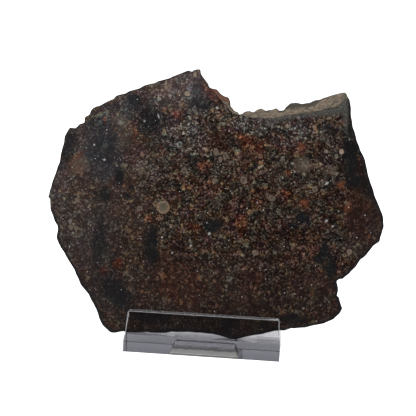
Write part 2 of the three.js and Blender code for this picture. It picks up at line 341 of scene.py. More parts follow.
DARK_VEINS = ovals(
    (-20.6, 66, 3.2, 4.6, 25, 0.88),
    (-25.2, 70.8, 2.1, 3.4, 30, 0.75),
    (-34.5, 56, 4.6, 5.8, 0, 0.6),
    (-29, 47.5, 1.5, 3, 5),
    (-37, 63, 3, 3.6, 0, 0.5),
    (-46, 55, 2.1, 6.4, -17, 0.7),
    (-33.5, 41.5, 2.6, 2.2, 0, 0.8),
    (-33.5, 27, 2.3, 7.4, 0, 0.7),
    (-17.5, 26.5, 2.1, 7.2),
    (-27.5, 12, 6.6, 3.3, -45, 0.88),
    (1, 34, 3, 2.5),
    (28, 38, 2.2, 1.7),
    (25.5, 35.5, 1.4, 1.4, 0, 0.9),
    (35.5, 28.5, 1.4, 2.8),
    (34, 26, 1.8, 1.4),
    (37.5, 23.5, 1.4, 4, 8),
    (41.5, 58, 2.4, 8.8, 4),
    (43.5, 50.5, 1.9, 2.4),
    (47, 48.5, 1.9, 3.6, 30, 0.7),
    (33.5, 66, 2.2, 1.7, 0, 0.6),
    (-4.5, 72, 3.6, 2.6, 0, 0.5),
    (-6, 76, 2.2, 2, 0, 0.3),
    (-16.5, 5, 6.2, 1.8, 0, 0.85),
    (27, 7, 4.4, 1.6, 8, 0.85),
    (7.5, 4.2, 2.9, 2.2, 0, 0.85),
    (18, 62, 1.4, 1.9, 0, 0.6),
    (-6, 53.5, 1.1, 2, 0, 0.8),
    (-24.8, 44.2, 0.7, 0.8),
    (-26, 41.5, 0.7, 1),
    (-13.5, 57.5, 0.9, 0.6, 20, 0.7),
    (6.5, 46.5, 0.7, 1.3, -20, 0.6),
    (14, 38.5, 0.9, 0.6, 0, 0.6),
)

RUST_STAINS = ovals(
    (11, 60, 4.6, 2.3, -25, 0.65),
    (-1, 75, 5.2, 2.2, -38, 0.55),
    (9.5, 35, 1.9, 3.4, 10, 0.6),
    (-27.5, 21, 1.5, 1.5, 0, 0.7),
    (-32, 18, 1.1, 1.3, 0, 0.6),
    (-8, 15.5, 6.5, 6, 0, 0.35),
    (-42.5, 53, 2.8, 0.9, 47, 0.7),
    (-42, 50.5, 3, 3.2, 0, 0.25),
    (23, 45, 2, 1.4, 0, 0.6),
    (-3, 52.5, 2.2, 1.8, 0, 0.6),
    (-5, 33.5, 2.6, 1.1, 0, 0.55),
    (-19, 35, 1.5, 1.1, 0, 0.55),
    (-25, 61, 0.8, 2, 0, 0.7),
    (-12.5, 68, 1.2, 1.1, 0, 0.45),
    (45, 42, 4, 7, 10, 0.15),
    (12.5, 42.5, 4, 4, 0, 0.2),
    (14, 20.5, 4.5, 6, 0, 0.24),
    (28.5, 28, 4, 4.5, 0, 0.3),
    (-2, 46.5, 3.5, 3.5, 0, 0.2),
)

BRIGHT_RUST = ovals(
    (39.5, 49, 1.1, 1.1),
    (28.5, 42.5, 1.4, 1.1),
    (41.5, 42, 1, 1.2, 0, 0.85),
    (23, 51.5, 0.9, 0.9),
    (26.5, 60, 1.3, 1, 0, 0.9),
    (-34.5, 65, 0.6, 0.8, 0, 0.8),
    (-16.5, 69, 0.6, 0.8, 0, 0.7),
    (48.5, 33.5, 0.6, 0.6, 0, 0.8),
)

PALE_CLASTS = ovals(
    (27.5, 54, 2.5, 2.6, 0, 0.55),
    (37, 53, 1.1, 1.2, 0, 0.6),
    (-41.8, 50.6, 2.8, 3, 0, 0.45),
    (-29.5, 65, 2, 1.8, 0, 0.5),
    (-28, 60.5, 3.2, 4, 0, 0.2),
    (-22.5, 50, 1.5, 1.3, 0, 0.6),
)

GREY_GROUND = ovals(
    (-8.5, 60.5, 6.5, 6, 0, 0.8),
    (11, 66, 6, 3.2, 0, 0.9),
    (25.5, 65, 5, 4.2, 0, 0.8),
    (0.5, 53, 5.5, 3.6, 0, 0.8),
    (-17.5, 51, 5, 5.5, 0, 0.7),
    (23, 51.5, 7, 4.4, 0, 0.6),
    (36, 56.5, 3.6, 6.5, 0, 0.7),
    (42, 31, 4.5, 2.8, 0, 0.6),
    (-41.5, 31, 6, 8.5, 0, 0.55),
    (-12, 75.5, 8, 4, 20, 0.6),
    (13, 20, 9, 6, 0, 0.4),
)

UMBER_GROUND = ovals(
    (1, 61, 5, 3.2, 0, 0.8),
    (26, 33, 6.5, 2.6, 0, 0.8),
    (46.5, 42, 4.5, 9, 0, 0.55),
    (-46.5, 39.5, 3, 7.5, 0, 0.3),
    (-26.5, 56, 2.6, 4.5, 0, 0.8),
    (-27, 28.5, 3.6, 5, 0, 0.5),
    (-15, 43.5, 1.2, 0.9, 0, 0.9),
)

# Areas where the polished face is multiplied paler and bluer: painted sheen for the haze of bright
# light it mirrors, strongest at the tip.
PAINTED_SHEEN_PATCHES = ovals(
    (-12, 77, 14, 6, 18, 1),
    (24, 66, 16, 5, 8, 0.5),
    (-42, 37, 7, 13, 0, 0.15),
    (-9.5, 65, 7.5, 8.5, 0, 0.6),
    (-28.5, 70, 14, 6, 24, 0.62),
    (-38, 60, 8.5, 8, 40, 0.5),
    (-25.5, 54.5, 4.2, 4.6, 0, 0.62),
    (6, 67, 8, 5.5, -10, 0.6),
    (-3.8, 77.5, 6, 6, -30, 0.95),
    (-47.5, 43.5, 3.8, 8.5, 0, 0.65),
)

SLATE_GROUND = ovals(
    (-35.2, 55.5, 6.6, 11, 6, 0.85),
    (-45, 59, 3, 5.5, -20, 0.6),
    (-30, 68, 11, 4.5, 24, 0.6),
    (-34.5, 25, 7, 13, 0, 0.45),
    (-30, 12, 9, 6, -40, 0.5),
    (28, 38.5, 5, 2.5, 0, 0.3),
    (-18.5, 64, 5.5, 5, 20, 0.5),
    (-26.5, 71, 2.6, 3.4, 30, 0.95),
    (-4, 74.5, 6, 7, -20, 0.6),
    (-47.5, 43, 3.5, 8, 0, 0.45),
)

CALM_GROUND = ovals(
    (-38, 40, 18, 34, 0, 0.45),
    (-8, 7, 34, 16, 0, 0.4),
    (34, 10, 16, 14, 0, 0.32),
    (-12, 76, 12, 7, 20, 0.5),
    (47.5, 41, 6, 13, 0, 0.55),
)

# Areas where the polished face is multiplied darker, mostly low down: painted shade where the face
# mirrors less bright light.
PAINTED_SHADE_PATCHES = ovals(
    (-24, 12, 18, 12, 0, 0.65),
    (22, 9, 36, 18, 8, 1),
    (44.5, 44, 8.5, 17, 0, 0.95),
    (-8, 18, 14, 9, 0, 0.85),
    (18, 29, 9, 8, 0, 0.8),
    (22, 46, 9, 6, 0, 0.35),
)

CHONDRULES = ovals(
    (-9, 50.5, 0.8, 0.7),
    (-22, 38, 0.7, 0.7),
    (3.5, 55.8, 0.65, 0.9),
    (1.9, 54.5, 0.5, 0.75, 10, 0.9),
    (0.5, 56.8, 0.75, 1.1, 15, 0.7),
    (14.5, 26.5, 0.85, 0.75, 0, 0.8),
    (18.5, 43.5, 0.9, 0.75),
    (31.5, 47, 0.7, 0.8),
    (9.5, 48.6, 0.85, 0.95),
    (43, 28.5, 0.75, 0.75, 0, 0.8),
    (-43, 31, 0.6, 0.6, 0, 0.8),
    (-41.5, 39.5, 0.65, 0.65, 0, 0.7),
    (-15.5, 76, 0.85, 0.8, 0, 0.8),
)

LARGE_CHONDRULE = Patch(-14.75, 38.8, 2.05, 1.95)
LARGE_CORE = Patch(-14.65, 38.95, 1.4, 1.3)

CREAM_GRAINS = ovals(
    (-9.5, 74.5, 0.9, 0.7, 0, 0.9),
    (-7.5, 80.5, 0.6, 0.8, 0, 0.7),
    (39, 59, 0.7, 0.85),
    (14.5, 53, 1, 0.35, 35),
    (10.5, 25.5, 0.45, 0.45, 0, 0.8),
    (22, 66, 0.6, 0.6, 0, 0.6),
)

METAL_FLECKS = ovals(
    (-22.3, 65.2, 0.3, 0.25),
    (-18, 67, 0.2, 0.7, 20),
    (-37.5, 57, 0.3, 0.3),
    (-34, 52.5, 0.4, 0.3),
    (0, 31.5, 0.4, 0.4),
    (-5.5, 27.5, 0.35, 0.25, 30),
    (35, 49, 0.6, 0.3, 40),
    (35.5, 37.5, 0.5, 0.3, 40),
    (37.5, 36, 0.3, 0.25),
    (0, 70.5, 0.4, 0.4),
    (-8.5, 65, 0.5, 0.2, 50),
    (-11, 25, 0.3, 0.2, 60),
    (-14.5, 29.5, 0.25, 0.25),
)


class Side(Enum):
    """The three kinds of surface that the slice has."""

    POLISHED = 0
    RIM = 1
    SAWN = 2


# The corner and size of each flat side's place in a painted copy of the slice.
PANELS = {
    Side.POLISHED: ((0.005, 0.425), (0.99, 0.57)),
    Side.SAWN: ((0.005, 0.125), (0.6, 0.29)),
}


class Moulding(Enum):
    """The three kinds of surface that the easel has."""

    CLEAR = 0
    # EDGE faces get a painted highlight.
    EDGE = 1
    # HOLLOW faces get painted light and shade.
    HOLLOW = 2


# ------------------------------------------------------------------ finishes


@dataclass(frozen=True)
class GrainSize:
    """One size of grain in the stone.

    Attributes:
        cell: The spacing of the grains.
        share: How many of the cells hold a grain.
        small: The smallest grain's radius, in cells.
        large: The largest grain's radius, in cells.
        strength: How fully the grains cover what is under them.
        cored: How many of them have a dark middle inside a pale rim.
    """

    cell: float
    share: float
    small: float
    large: float
    strength: float
    cored: float


@dataclass(frozen=True)
class StoneFinish:
    """The chondrite's colours and grains, shared by its polished and sawn sides.

    The colours from greyed to umber multiply what is under them, and the others cover it.
    """

    ground: Stops = (
        (0.18, (0.004, 0.0028, 0.0027)),
        (0.36, (0.012, 0.0073, 0.0070)),
        (0.50, (0.031, 0.0193, 0.0164)),
        (0.64, (0.064, 0.0465, 0.036)),
        (0.82, (0.135, 0.113, 0.086)),
    )
    tints: Stops = (
        (0.22, (0.98, 0.68, 0.78)),
        (0.34, (1.02, 0.62, 0.56)),
        (0.44, (1.2, 0.74, 0.42)),
        (0.54, (1.1, 0.96, 0.58)),
        (0.64, (0.80, 0.98, 0.86)),
        (0.78, (1.02, 0.90, 0.90)),
    )
    warm: Stops = (
        (0.0, (0.020, 0.012, 0.010)),
        (0.2, (0.060, 0.031, 0.020)),
        (0.4, (0.105, 0.056, 0.034)),
        (0.6, (0.095, 0.074, 0.048)),
        (0.8, (0.145, 0.112, 0.068)),
        (1.0, (0.185, 0.158, 0.112)),
    )
    grey: Stops = (
        (0.0, (0.020, 0.018, 0.018)),
        (0.25, (0.070, 0.062, 0.055)),
        (0.5, (0.100, 0.102, 0.096)),
        (0.75, (0.150, 0.138, 0.122)),
        (1.0, (0.220, 0.208, 0.190)),
    )
    sizes: tuple[GrainSize, ...] = (
        GrainSize(2.3, 0.3, 0.2, 0.42, 0.4, 0.5),
        GrainSize(1.25, 0.42, 0.2, 0.45, 0.5, 0.5),
    )
    greyed: Colour = (1.05, 1.25, 1.35)
    # Painted sheen: a pale bluish lift for the light that the polished face mirrors.
    painted_sheen_tint: Colour = (1.85, 2.0, 2.2)
    # Painted shade: darkens the face where it mirrors less light.
    painted_shade_tint: Colour = (0.64, 0.60, 0.60)
    slated: Colour = (0.66, 0.87, 1.1)
    veined: Colour = (0.26, 0.31, 0.35)
    rust: Colour = (1.7, 0.72, 0.42)
    umber: Colour = (0.55, 0.42, 0.40)
    crystal: Colour = (0.152, 0.136, 0.106)
    grain_core: Colour = (0.018, 0.012, 0.010)
    calm: Colour = (0.032, 0.0215, 0.0185)
    slate: Colour = (0.025, 0.0245, 0.0275)
    strip: Colour = (0.070, 0.070, 0.064)
    vein: Colour = (0.0065, 0.0070, 0.0082)
    crust: Colour = (0.0065, 0.0065, 0.0075)
    bright_rust: Colour = (0.145, 0.052, 0.024)
    clast: Colour = (0.135, 0.105, 0.078)
    chondrule: Colour = (0.135, 0.102, 0.078)
    chondrule_core: Colour = (0.072, 0.060, 0.050)
    ring: Colour = (0.140, 0.108, 0.074)
    ring_red: Colour = (0.180, 0.088, 0.052)
    ring_core: Colour = (0.072, 0.060, 0.044)
    cream: Colour = (0.22, 0.175, 0.125)
    metal: Colour = (0.42, 0.41, 0.40)

    def grained(self, graph: Graph, place: Signal, greyness: Operand) -> Signal:
        """Returns the stone's colour before any stain, vein or clast.

        Args:
            graph: The material's graph.
            place: Where it is read, in the slice's own millimetres.
            greyness: How grey the grains are, from 0 to 1.

        Returns:
            The colour.
        """
        wobble = graph.cloud(place, 0.5, 2.0, 0.6).sibling("Color")
        uneven = graph.shifted(place, wobble, 0.7)
        crystals = graph.cells(uneven, 0.42).sibling("Color")
        light, _, _ = graph.split(crystals)
        blocks = graph.cells(uneven, 1.2).sibling("Color")
        block_light, block_tint, _ = graph.split(blocks)
        broad = graph.cloud(place, 2.8, 3.0, 0.65)
        region, _, _ = graph.split(graph.cloud(place, 5.2, 3.0, 0.5).sibling("Color"))
        fine = graph.cloud(place, 0.7, 3.0, 0.7)

        tone = light * 0.16 + block_light * 0.18 + fine * 0.5 + broad * 0.6 - 0.37
        colour = graph.ramp(tone, self.ground)
        rounded = graph.shifted(uneven, broad.sibling("Color"), 1.6)
        for size in self.sizes:
            distance = graph.cells(rounded, size.cell)
            pick, radius, hue = graph.split(distance.sibling("Color"))
            far = distance / (radius * (size.large - size.small) + size.small)
            disc = graph.smooth(far, 1.15, 0.85)
            here = disc * graph.smooth(pick, size.share, size.share - 0.02) * size.strength
            duller = 0.35 + greyness * 0.65
            grain = graph.mix(graph.ramp(hue, self.warm), graph.ramp(hue, self.grey), duller)
            other = graph.maths("FRACT", hue * 7.0)
            core = graph.smooth(far, 0.75, 0.4) * graph.smooth(other, size.cored, size.cored - 0.02)
            grain = graph.mix(grain, self.grain_core, core * 0.8)
            mottle = graph.ramp(light * 0.6 + fine * 0.5, ((0.2, (0.35,) * 3), (0.75, (1.0,) * 3)))
            colour = graph.mix(colour, graph.mix(grain, mottle, 1.0, "MULTIPLY"), here)
        hue = region * 1.9 + (block_tint - 0.5) * 0.07 - 0.46
        tinted = graph.mix(colour, graph.ramp(hue, self.tints), 1.0, "MULTIPLY")
        colour = graph.mix(colour, tinted, 1.0 - greyness * 0.5)
        glassy = graph.smooth(light, 0.62, 1.0) * graph.smooth(fine + broad, 0.75, 1.25)
        colour = graph.mix(colour, self.crystal, glassy * 0.5)
        return graph.mix(colour, (0.3,) * 3, graph.smooth(light, 0.42, 0.0) * 0.75, "MULTIPLY")


@dataclass(frozen=True)
class PolishedFace:
    """The cut and polished front of the slice."""

    stone: StoneFinish = field(default_factory=StoneFinish)
    roughness: float = 0.34
    shine: float = 0.06

    def material(self) -> bpy.types.Material:
        """Returns the polished face's material."""
        graph = Graph("polished_chondrite")
        stone = self.stone
        place, edge = graph.stored("stone"), graph.stored("edge", "Fac")
        broad = graph.cloud(place, 3.2, 3.0, 0.6)
        drifted = graph.shifted(place, broad.sibling("Color"), 2.6)
        ragged = (graph.cloud(place, 1.1, 3.0, 0.65) - 0.5) * 1.1
        area = partial(joined, graph, drifted, ragged)

        greyness = area(GREY_GROUND, 0.5)
        colour = stone.grained(graph, place, greyness)
        colour = graph.mix(colour, stone.greyed, greyness * 0.8, "MULTIPLY")
        colour = graph.mix(colour, stone.calm, area(CALM_GROUND, 0.5) * 0.6)
        # Painted sheen: some areas lifted paler and bluer.
        colour = graph.mix(colour, stone.painted_sheen_tint, area(PAINTED_SHEEN_PATCHES, 0.6), "MULTIPLY")
        # Painted shade: the lower areas darkened.
        colour = graph.mix(colour, stone.painted_shade_tint, area(PAINTED_SHADE_PATCHES, 0.6), "MULTIPLY")
        slate = area(SLATE_GROUND, 0.5)
        colour = graph.mix(colour, stone.slated, slate, "MULTIPLY")
        colour = graph.mix(colour, stone.slate, slate * slate * 0.45)
        colour = graph.mix(colour, stone.umber, area(UMBER_GROUND, 0.4) * 0.85, "MULTIPLY")
        colour = graph.mix(colour, stone.rust, area(RUST_STAINS, 0.45), "MULTIPLY")

        speck = graph.cloud(place, 0.42, 2.0, 0.65)
        grit = graph.ramp(speck, ((0.32, (0.3,) * 3), (0.62, (1.0,) * 3)))
        laid = partial(self._laid, graph, grit)
        colour = laid(colour, stone.clast, area(PALE_CLASTS, 0.5) * 0.55)
        steady = graph.shifted(place, speck.sibling("Color"), 0.28)
        fires = joined(graph, drifted, ragged * 1.6, BRIGHT_RUST, 0.7)
        lit = fires * graph.smooth(speck, 0.40, 0.56)
        colour = graph.mix(colour, stone.rust, fires * 0.7, "MULTIPLY")
        colour = laid(colour, stone.bright_rust, lit * 0.6)
        frayed = ragged + (speck - 0.5) * 0.9
        veins = joined(graph, drifted, frayed, DARK_VEINS, 0.4)
        dark = graph.mix(stone.vein, graph.mix(colour, stone.veined, 1.0, "MULTIPLY"), 0.5)
        colour = graph.mix(colour, dark, veins)

        crisp = (graph.cloud(place, 0.8, 1.0) - 0.5) * 0.6
        mark = partial(joined, graph, steady, crisp)
        spots = mark(CHONDRULES, 0.75)
        ring = graph.smooth(graph.maths("ABSOLUTE", spots - 0.5), 0.5, 0.15)
        ringed = graph.mix(stone.chondrule_core, stone.chondrule, ring)
        colour = laid(colour, ringed, graph.smooth(spots, 0.1, 0.45) * 0.6)
        colour = laid(colour, stone.cream, mark(CREAM_GRAINS, 0.25) * 0.85)
        colour = self._large_chondrule(graph, steady, crisp, grit, colour)

        distance = graph.cells(steady, 1.0)
        pick, radius, _ = graph.split(distance.sibling("Color"))
        fleck = graph.smooth(distance - radius * 0.12, 0.09, 0.01) * graph.smooth(pick, 0.17, 0.15)
        flecks = fleck * 0.7 | mark(METAL_FLECKS, 0.7) * 0.5
        colour = graph.mix(colour, stone.metal, flecks * 0.8)

        strip, top = self._weathered_strip(graph, place, edge, speck)
        sooty = graph.mix(stone.strip, stone.vein, graph.smooth(speck, 0.56, 0.38) * 0.7)
        colour = laid(colour, sooty, strip)
        x, y, _ = graph.axes(place)
        burnt = graph.smooth(y, 42.0, 30.0) | graph.smooth(x, 36.0, 40.0)
        reach = edge + (speck - 0.5) * 1.6
        crust = (graph.smooth(reach, 1.3, 0.4) * burnt | graph.smooth(edge, 0.4, 0.1)) * (1.0 - top)
        colour = graph.mix(colour, stone.crust, crust * 0.85)

        rough = self.roughness + (speck - 0.5) * 0.25
        normal = graph.bump(graph.cloud(place, 0.5, 3.0, 0.6), 0.03 * MM, 0.6)
        shader = graph.shader(colour, rough, Specular_IOR_Level=self.shine, Normal=normal)
        return graph.surface(shader)

    @staticmethod
    def _laid(graph: Graph, grit: Signal, under: Signal, over: Paint, share: Signal) -> Signal:
        """Lays a colour over another, speckled by the grit's grey."""
        return graph.mix(under, graph.mix(over, grit, 1.0, "MULTIPLY"), share)

    def _large_chondrule(
        self, graph: Graph, place: Signal, crisp: Signal, grit: Signal, colour: Signal
    ) -> Signal:
        """Lays the one large chondrule, a tan ring round a greyer middle, over a colour.

        Args:
            graph: The material's graph.
            place: Where it is read.
            crisp: A value near 0 that makes its edge uneven.
            grit: The specks, as a colour to multiply by.
            colour: The colour underneath.

        Returns:
            The colour with the chondrule on it.
        """
        whole = LARGE_CHONDRULE.mask(graph, place, crisp * 0.6, 0.1)
        middle = LARGE_CORE.mask(graph, place, crisp, 0.3)
        stone = self.stone
        warm = graph.mix(stone.ring, stone.ring_red, graph.smooth(crisp, -0.02, 0.1))
        ringed = graph.mix(warm, stone.ring_core, middle)
        return self._laid(graph, grit, colour, ringed, whole * 0.9)

    def _weathered_strip(
        self, graph: Graph, place: Signal, edge: Signal, speck: Signal
    ) -> tuple[Signal, Signal]:
        """Finds the grey strip under the broken top edge.

        Args:
            graph: The material's graph.
            place: Where it is read.
            edge: The distance to the outline.
            speck: Fine noise that frays the strip.

        Returns:
            The strip's mask, and the mask of all that lies near the broken edge.
        """
        x, y, _ = graph.axes(place)
        top = graph.smooth(x, 0.0, 2.0) * graph.smooth(x, 41.0, 39.5) * graph.smooth(y, 62.0, 65.0)
        frayed = edge + (speck - 0.5) * 6.0 - graph.smooth(x, 30.0, 37.0) * 1.3
        wide = graph.smooth(frayed, 1.7, 0.9) * graph.smooth(x + (speck - 0.5) * 14.0, 12.0, 19.0)
        return wide * top * 0.8, top


@dataclass(frozen=True)
class WeatheredRim:
    """The slice's outer surface: a dark crust, broken open along the top."""

    shine: float = 0.06
    crust: Colour = (0.007, 0.006, 0.0055)
    crust_pale: Colour = (0.034, 0.025, 0.019)
    broken: Colour = (0.135, 0.104, 0.077)
    broken_dark: Colour = (0.034, 0.030, 0.023)
    red: Colour = (0.098, 0.040, 0.025)

    def material(self) -> bpy.types.Material:
        """Returns the rim's material."""
        graph = Graph("weathered_crust")
        place = graph.stored("stone")
        x, y, z = graph.axes(place)
        fine = graph.cloud(place, 0.6, 4.0, 0.65)
        broad = graph.cloud(place, 2.6, 3.0, 0.6)
        colour = graph.mix(self.crust, self.crust_pale, graph.smooth(fine, 0.44, 0.66))
        rusty = graph.smooth(broad, 0.5, 0.64)
        colour = graph.mix(colour, self.red, rusty * 0.25)

        frayed = (fine - 0.5) * 2.4
        high = graph.smooth(y, 64.0, 66.0)
        turn = x + frayed * 0.5 + z
        open_top = graph.smooth(turn, 0.8, 1.6) * graph.smooth(x + frayed, 41.2, 40.0) * high
        inner = graph.smooth(z + frayed * 0.4, 0.1, -0.4)
        hump = graph.smooth(x + frayed, 18.0, 22.0) * graph.smooth(x + frayed, 33.0, 29.0)
        outer = graph.smooth(z + frayed * 0.5 - hump * 1.4, -3.5, -2.9)
        outer = outer * graph.smooth(x + frayed, 40.5, 37.5)
        along = graph.vector("MULTIPLY", place, (0.28, 0.5, 1.4))
        streaks = graph.cloud(along, 0.8, 3.0, 0.65)
        gravel = graph.cloud(place, 1.1, 3.0, 0.75)
        chips = graph.smooth(gravel, 0.56, 0.43) * 0.8
        chipped = graph.smooth(streaks, 0.54, 0.38) * 0.5 | chips
        tan = graph.mix(self.broken, self.broken_dark, chipped)
        tan = graph.mix(self.broken_dark, tan, inner & outer)
        colour = graph.mix(colour, tan, open_top)
        rough_red = graph.mix(self.red, self.crust_pale, chips * 0.8)
        rough_red = graph.mix(self.crust, rough_red, outer)
        red = graph.smooth(turn, 1.5, 0.7) * graph.smooth(x + frayed, -5.5, -4.0) * high
        colour = graph.mix(colour, rough_red, red)

        rough = 0.75 + (fine - 0.5) * 0.4
        normal = graph.bump(fine * 0.7 + broad * 0.4, 0.7 * MM)
        shader = graph.shader(colour, rough, Specular_IOR_Level=self.shine, Normal=normal)
        return graph.surface(shader)


@dataclass(frozen=True)
class SawnBack:
    """The sawn, unpolished back of the slice, with the blade's fine arcs."""

    stone: StoneFinish = field(default_factory=StoneFinish)
    shine: float = 0.3
    dust_and_painted_shading: Colour = (0.085, 0.070, 0.056)
    pitch: float = 0.9

    def material(self) -> bpy.types.Material:
        """Returns the back's material."""
        graph = Graph("sawn_chondrite")
        place = graph.stored("stone")
        broad = graph.cloud(place, 6.0, 3.0, 0.6)
        drifted = graph.shifted(place, broad.sibling("Color"), 4.0)
        ragged = (graph.cloud(place, 1.3, 3.0, 0.65) - 0.5) * 1.1
        greyness = graph.smooth(broad, 0.42, 0.6)
        colour = self.stone.grained(graph, place, greyness)
        veins = joined(graph, drifted, ragged, DARK_VEINS[:12], 0.4)
        colour = graph.mix(colour, self.stone.vein, veins * 0.75)
        stain = graph.smooth(graph.cloud(place, 9.0, 4.0, 0.65), 0.52, 0.66)
        colour = graph.mix(colour, self.stone.rust, stain * 0.7, "MULTIPLY")
        colour = graph.mix(colour, self.dust_and_painted_shading, 0.3)

        away = graph.vector("DISTANCE", drifted, (*BLADE_CENTRE, -THICKNESS)) + broad * 0.8
        line = graph.maths("SINE", away * (2 * math.pi / self.pitch))
        fine = graph.cloud(place, 0.4, 3.0, 0.6)
        colour = graph.mix(colour, self.dust_and_painted_shading, graph.smooth(line, 0.6, 1.0) * 0.18)
        normal = graph.bump(line * 0.15 + fine, 0.08 * MM, 0.7)
        rough = 0.72 + (fine - 0.5) * 0.3
        shader = graph.shader(colour, rough, Specular_IOR_Level=self.shine, Normal=normal)
        return graph.surface(shader)


@dataclass(frozen=True)
class ClearPlastic:
    """The easel's clear plastic, very slightly smoky, with faint wear in its gloss."""

    tint: Colour = (0.80, 0.80, 0.815)
    density: float = 720.0

    def material(self) -> bpy.types.Material:
        """Returns the plastic's material."""
        graph = Graph("clear_plastic")
        place = graph.own_place()
        haze = graph.cloud(place, 9 * MM, 1.0, 0.4)
        scuffs = graph.cloud(place, 4 * MM, 2.0, 0.6)
        rough = 0.005 + graph.smooth(haze, 0.5, 0.75) * 0.01 + graph.smooth(scuffs, 0.6, 0.8) * 0.03
        volume = graph.add(
            "VolumeAbsorption", {}, {"Color": self.tint, "Density": self.density}, "Volume"
        )
        shader = graph.acrylic(rough, Normal=graph.bump(haze, 0.02 * MM, 0.15))
        return graph.surface(shader, Volume=volume)


@dataclass(frozen=True)
class PaintedEdgeHighlight:
    """The plastic's softened edges, with a pale grey painted highlight for the light they catch,
    strongest above the shelf.
    """

    light: float = 0.9
    low: float = 0.0042
    high: float = 0.0052
    dark: Colour = (0.17, 0.175, 0.18)
    pale: Colour = (0.24, 0.245, 0.25)

    def material(self) -> bpy.types.Material:
        """Returns the edges' material."""
        graph = Graph("plastic_painted_edge_highlight")
        place = graph.own_place()
        highlight_noise = graph.cloud(place, 1.2 * MM, 3.0, 0.6)
        _, _, z = graph.axes(place)
        above = graph.smooth(z, self.low, self.high)
        # The pale grey diffuse shade is a painted highlight for the light that the edges catch.
        shade = graph.ramp(highlight_noise, ((0.3, self.dark), (0.7, self.pale)))
        share = (above * 0.6 + 0.4) * self.light * graph.smooth(highlight_noise, 0.1, 0.4)
        clear, highlight_shader = graph.acrylic(0.02 + highlight_noise * 0.06), graph.shader(shade, 0.5)
        return graph.surface(graph.add("MixShader", {}, {0: share, 1: clear, 2: highlight_shader}))


@dataclass(frozen=True)
class PaintedHollowShading:
    """The inside of the hollow under the shelf, painted in bands of light and shade by height."""

    share: float = 0.88
    # Painted light and shade: light low down for the lit floor seen through, a dark band of painted
    # shadow, paler near the top.
    painted_bands: Stops = (
        (0.0, (0.33, 0.325, 0.30)),
        (0.42, (0.31, 0.305, 0.27)),
        (0.54, (0.085, 0.085, 0.09)),
        (0.70, (0.11, 0.11, 0.115)),
        (0.86, (0.22, 0.22, 0.22)),
    )

    def material(self) -> bpy.types.Material:
        """Returns the hollow's material."""
        graph = Graph("hollow_painted_shading")
        place = graph.own_place()
        band_noise = graph.cloud(place, 1.6 * MM, 3.0, 0.6)
        _, _, z = graph.axes(place)
        level = z * 330.0 + (band_noise - 0.5) * 0.35
        share = self.share + (band_noise - 0.5) * 0.2
        clear = graph.acrylic(0.05 + band_noise * 0.1)
        # The banded shader is painted light and shade over the clear plastic.
        dust_and_painted_shading = graph.shader(graph.ramp(level, self.painted_bands), 0.9)
        return graph.surface(graph.add("MixShader", {}, {0: share, 1: clear, 2: dust_and_painted_shading}))


@dataclass(frozen=True)
class PaleBoard:
    """The studio floor's plain white finish, which glows a little so that it stays white."""

    white: float = 0.93
    glow: float = 0.2

    def material(self) -> bpy.types.Material:
        """Returns the floor's material."""
        graph = Graph("pale_board")
        place = graph.own_place()
        grain = graph.cloud(place, 0.02, 3.0, 0.5)
        shade = graph.ramp(grain, ((0.3, (self.white,) * 3), (0.7, (self.white - 0.015,) * 3)))
        light = {"Emission_Color": (1.0, 1.0, 1.0), "Emission_Strength": self.glow}
        return graph.surface(graph.shader(shade, 0.8, Specular_IOR_Level=0.2, **light))


@dataclass(frozen=True)
class BlackCard:
    """The dull black of the card that keeps the sky's glare off the polished face."""

    dark: float = 0.01
    light: float = 0.014

    def material(self) -> bpy.types.Material:
        """Returns the card's material."""
        graph = Graph("black_card")
        grain = graph.cloud(graph.own_place(), 0.05)
        black = graph.ramp(grain, ((0.3, (self.dark,) * 3), (0.7, (self.light,) * 3)))
        return graph.surface(graph.shader(black, 0.9))


# ------------------------------------------------------------------ mesh helpers


def new_object(name: str, mesh: bpy.types.Mesh) -> bpy.types.Object:
    """Links a new object that shows a mesh."""
    thing = bpy.data.objects.new(name, mesh)
    bpy.context.scene.collection.objects.link(thing)
    return thing


def mesh_from(shape: bmesh.types.BMesh, name: str) -> bpy.types.Mesh:
    """Turns an edited shape into a mesh, and frees the shape."""
    mesh = bpy.data.meshes.new(name)
    shape.to_mesh(mesh)
    shape.free()
    return mesh


def smoothed(mesh: bpy.types.Mesh, angle: float) -> None:
    """Shades a mesh smooth, except at edges sharper than an angle in degrees."""
    mesh.polygons.foreach_set("use_smooth", [True] * len(mesh.polygons))
    mesh.set_sharp_from_angle(angle=math.radians(angle))


def card(name: str, parts: int, size: float, finish: bpy.types.Material) -> bpy.types.Object:
    """Makes a flat square card.

    Args:
        name: Its name.
        parts: How many squares it has along each side.
        size: The length of its side, in metres.
        finish: Its material.

    Returns:
        The object.
    """
    shape = bmesh.new()
    bmesh.ops.create_grid(shape, x_segments=parts, y_segments=parts, size=size / 2)
    mesh = mesh_from(shape, name)
    mesh.materials.append(finish)
    return new_object(name, mesh)


def through(points: np.ndarray, steps: int, closed: bool) -> np.ndarray:
    """Draws a smooth curve through points, along the first axis.

    Args:
        points: The points; the first axis is their order.
        steps: How many points each one becomes.
        closed: Whether the last point joins the first.

    Returns:
        The finer points. An open curve keeps both ends.
    """
    count = len(points)
    spans = np.arange(count if closed else count - 1)

    def at(offset: int) -> np.ndarray:
        """Returns the points at an offset from each span's start."""
        place = spans + offset
        return points[place % count if closed else np.clip(place, 0, count - 1)]

    before, start, end, after = at(-1), at(0), at(1), at(2)
    finer = []
    for step in range(steps):
        t = step / steps
        curve = 2 * start + (end - before) * t
        curve = curve + (2 * before - 5 * start + 4 * end - after) * t**2
        curve = curve + (3 * start - before - 3 * end + after) * t**3
        finer.append(curve / 2)
    stacked = np.stack(finer, axis=1).reshape(-1, *points.shape[1:])
    return stacked if closed else np.concatenate([stacked, points[-1:]])


